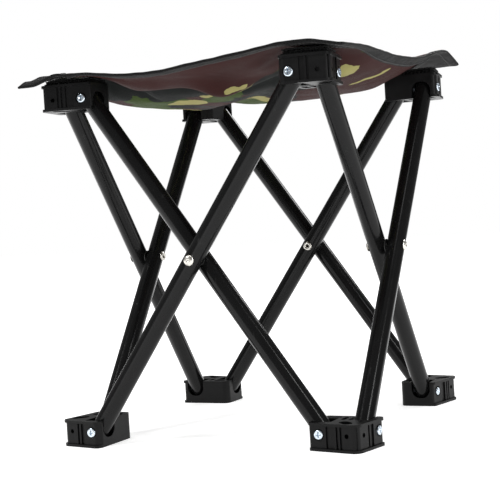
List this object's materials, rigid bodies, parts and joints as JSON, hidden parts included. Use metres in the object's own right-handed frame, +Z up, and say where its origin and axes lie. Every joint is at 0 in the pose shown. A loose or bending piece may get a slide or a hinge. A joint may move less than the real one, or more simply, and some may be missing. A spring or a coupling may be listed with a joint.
{
  "type": "folding camp stool",
  "caption": "Folding camp stool: scissor frame of round black tubes, plastic corner mouldings above and below, and a camouflage sling seat with dark corner patches.",
  "frame": {"origin": "on the floor under the middle of the stool, open", "axes": "+Z up, +Y back, +X to the right as the stool is seen from its front"},
  "size_m": [0.292, 0.292, 0.32],
  "materials": {
    "tube": "satin black powder coat",
    "moulding": "semi-gloss black moulded plastic",
    "pivot_screw": "bright zinc plate",
    "rivet": "nickel plate",
    "spacer": "black nylon",
    "seat_fabric": "woodland camouflage polyester",
    "binding": "black woven tape",
    "patch": "black polyester",
    "webbing": "black webbing",
    "seat_fixing": "zinc plate"
  },
  "bodies": {
    "foot_front_left": {"foot_front_left": "moulding", "foot_outer_screw_front_left": "pivot_screw", "foot_inner_screw_front_left": "pivot_screw"},
    "foot_front_right": {"foot_front_right": "moulding", "foot_outer_screw_front_right": "pivot_screw", "foot_inner_screw_front_right": "pivot_screw"},
    "top_front_right": {"top_bracket_front_right": "moulding", "top_outer_screw_front_right": "pivot_screw", "top_inner_screw_front_right": "pivot_screw", "seat_pocket_front_right": "webbing", "seat_washer_front_right": "seat_fixing", "seat_screw_front_right": "seat_fixing"},
    "foot_back_right": {"foot_back_right": "moulding", "foot_outer_screw_back_right": "pivot_screw", "foot_inner_screw_back_right": "pivot_screw"},
    "top_back_right": {"top_bracket_back_right": "moulding", "top_outer_screw_back_right": "pivot_screw", "top_inner_screw_back_right": "pivot_screw", "seat_pocket_back_right": "webbing", "seat_washer_back_right": "seat_fixing", "seat_screw_back_right": "seat_fixing"},
    "foot_back_left": {"foot_back_left": "moulding", "foot_outer_screw_back_left": "pivot_screw", "foot_inner_screw_back_left": "pivot_screw"},
    "top_back_left": {"top_bracket_back_left": "moulding", "top_outer_screw_back_left": "pivot_screw", "top_inner_screw_back_left": "pivot_screw", "seat_pocket_back_left": "webbing", "seat_washer_back_left": "seat_fixing", "seat_screw_back_left": "seat_fixing"},
    "top_front_left": {"top_bracket_front_left": "moulding", "top_outer_screw_front_left": "pivot_screw", "top_inner_screw_front_left": "pivot_screw", "seat_pocket_front_left": "webbing", "seat_washer_front_left": "seat_fixing", "seat_screw_front_left": "seat_fixing"},
    "outer_front": {"outer_tube_front": "tube", "crossing_rivet_front": "rivet", "crossing_spacer_front": "spacer"},
    "inner_front": {"inner_tube_front": "tube"},
    "outer_right": {"outer_tube_right": "tube", "crossing_rivet_right": "rivet", "crossing_spacer_right": "spacer"},
    "inner_right": {"inner_tube_right": "tube"},
    "outer_back": {"outer_tube_back": "tube", "crossing_rivet_back": "rivet", "crossing_spacer_back": "spacer"},
    "inner_back": {"inner_tube_back": "tube"},
    "outer_left": {"outer_tube_left": "tube", "crossing_rivet_left": "rivet", "crossing_spacer_left": "spacer"},
    "inner_left": {"inner_tube_left": "tube"},
    "seat_front": {"seat_sheet_front": "seat_fabric", "seat_binding_front": "binding", "corner_patch_front_left": "patch", "corner_patch_front_right": "patch"},
    "seat_back": {"seat_sheet_back": "seat_fabric", "seat_binding_back": "binding", "corner_patch_back_left": "patch", "corner_patch_back_right": "patch"}
  },
  "joints": [
    {"name": "fold", "type": "hinge", "parent": "foot_front_left", "child": "outer_front", "pos_m": [-0.101, -0.129, 0.013], "axis": [0, -1, 0], "range_deg": [0, 31.9], "deforming": ["seat_sheet_front", "seat_sheet_back", "seat_binding_front", "seat_binding_back", "corner_patch_front_right", "corner_patch_back_right", "corner_patch_back_left", "corner_patch_front_left"]},
    {"name": "crossing_front", "type": "hinge", "parent": "outer_front", "child": "inner_front", "pos_m": [0, -0.1206, 0.155], "axis": [0, -1, 0], "range_deg": [-63.82, 0]},
    {"name": "pivot_top_front_right_outer", "type": "hinge", "parent": "outer_front", "child": "top_front_right", "pos_m": [0.101, -0.129, 0.297], "axis": [0, -1, 0], "range_deg": [-31.92, 0]},
    {"name": "pivot_top_front_left_inner", "type": "hinge", "parent": "inner_front", "child": "top_front_left", "pos_m": [-0.101, -0.1122, 0.297], "axis": [0, -1, 0], "range_deg": [0, 31.92]},
    {"name": "pivot_foot_front_right_inner", "type": "hinge", "parent": "inner_front", "child": "foot_front_right", "pos_m": [0.101, -0.1122, 0.013], "axis": [0, -1, 0], "range_deg": [0, 31.92]},
    {"name": "pivot_foot_front_left_inner", "type": "hinge", "parent": "foot_front_left", "child": "inner_left", "pos_m": [-0.1122, -0.101, 0.013], "axis": [-1, 0, 0], "range_deg": [-31.92, 0]},
    {"name": "crossing_left", "type": "hinge", "parent": "inner_left", "child": "outer_left", "pos_m": [-0.1206, 0, 0.155], "axis": [-1, 0, 0], "range_deg": [0, 63.82]},
    {"name": "pivot_top_back_left_inner", "type": "hinge", "parent": "inner_left", "child": "top_back_left", "pos_m": [-0.1122, 0.101, 0.297], "axis": [-1, 0, 0], "range_deg": [0, 31.92]},
    {"name": "pivot_foot_back_left_outer", "type": "hinge", "parent": "outer_left", "child": "foot_back_left", "pos_m": [-0.129, 0.101, 0.013], "axis": [-1, 0, 0], "range_deg": [-31.92, 0]},
    {"name": "pivot_foot_front_right_outer", "type": "hinge", "parent": "foot_front_right", "child": "outer_right", "pos_m": [0.129, -0.101, 0.013], "axis": [1, 0, 0], "range_deg": [0, 31.92]},
    {"name": "crossing_right", "type": "hinge", "parent": "outer_right", "child": "inner_right", "pos_m": [0.1206, 0, 0.155], "axis": [1, 0, 0], "range_deg": [-63.82, 0]},
    {"name": "pivot_top_back_right_outer", "type": "hinge", "parent": "outer_right", "child": "top_back_right", "pos_m": [0.129, 0.101, 0.297], "axis": [1, 0, 0], "range_deg": [-31.92, 0]},
    {"name": "pivot_foot_back_right_inner", "type": "hinge", "parent": "inner_right", "child": "foot_back_right", "pos_m": [0.1122, 0.101, 0.013], "axis": [1, 0, 0], "range_deg": [0, 31.92]},
    {"name": "pivot_foot_back_right_outer", "type": "hinge", "parent": "foot_back_right", "child": "outer_back", "pos_m": [0.101, 0.129, 0.013], "axis": [0, 1, 0], "range_deg": [0, 31.92]},
    {"name": "crossing_back", "type": "hinge", "parent": "outer_back", "child": "inner_back", "pos_m": [0, 0.1206, 0.155], "axis": [0, 1, 0], "range_deg": [-63.82, 0]},
    {"name": "seat_front_lift", "type": "hinge", "parent": "top_front_left", "child": "seat_front", "pos_m": [0, -0.146, 0.3176], "axis": [1, 0, 0], "range_deg": [0, 67.59]},
    {"name": "seat_back_lift", "type": "hinge", "parent": "top_back_left", "child": "seat_back", "pos_m": [0, 0.146, 0.3176], "axis": [-1, 0, 0], "range_deg": [0, 67.59]}
  ],
  "couplings": [
    {"joint": "crossing_front", "follows": "fold", "ratio": -2},
    {"joint": "pivot_top_front_right_outer", "follows": "fold", "ratio": -1},
    {"joint": "pivot_top_front_left_inner", "follows": "fold", "ratio": 1},
    {"joint": "pivot_foot_front_right_inner", "follows": "fold", "ratio": 1},
    {"joint": "pivot_foot_front_left_inner", "follows": "fold", "ratio": -1},
    {"joint": "crossing_left", "follows": "fold", "ratio": 2},
    {"joint": "pivot_top_back_left_inner", "follows": "fold", "ratio": 1},
    {"joint": "pivot_foot_back_left_outer", "follows": "fold", "ratio": -1},
    {"joint": "pivot_foot_front_right_outer", "follows": "fold", "ratio": 1},
    {"joint": "crossing_right", "follows": "fold", "ratio": -2},
    {"joint": "pivot_top_back_right_outer", "follows": "fold", "ratio": -1},
    {"joint": "pivot_foot_back_right_inner", "follows": "fold", "ratio": 1},
    {"joint": "pivot_foot_back_right_outer", "follows": "fold", "ratio": 1},
    {"joint": "crossing_back", "follows": "fold", "ratio": -2},
    {"joint": "seat_front_lift", "follows": "fold", "ratio": 2.1182},
    {"joint": "seat_back_lift", "follows": "fold", "ratio": 2.1182}
  ]
}
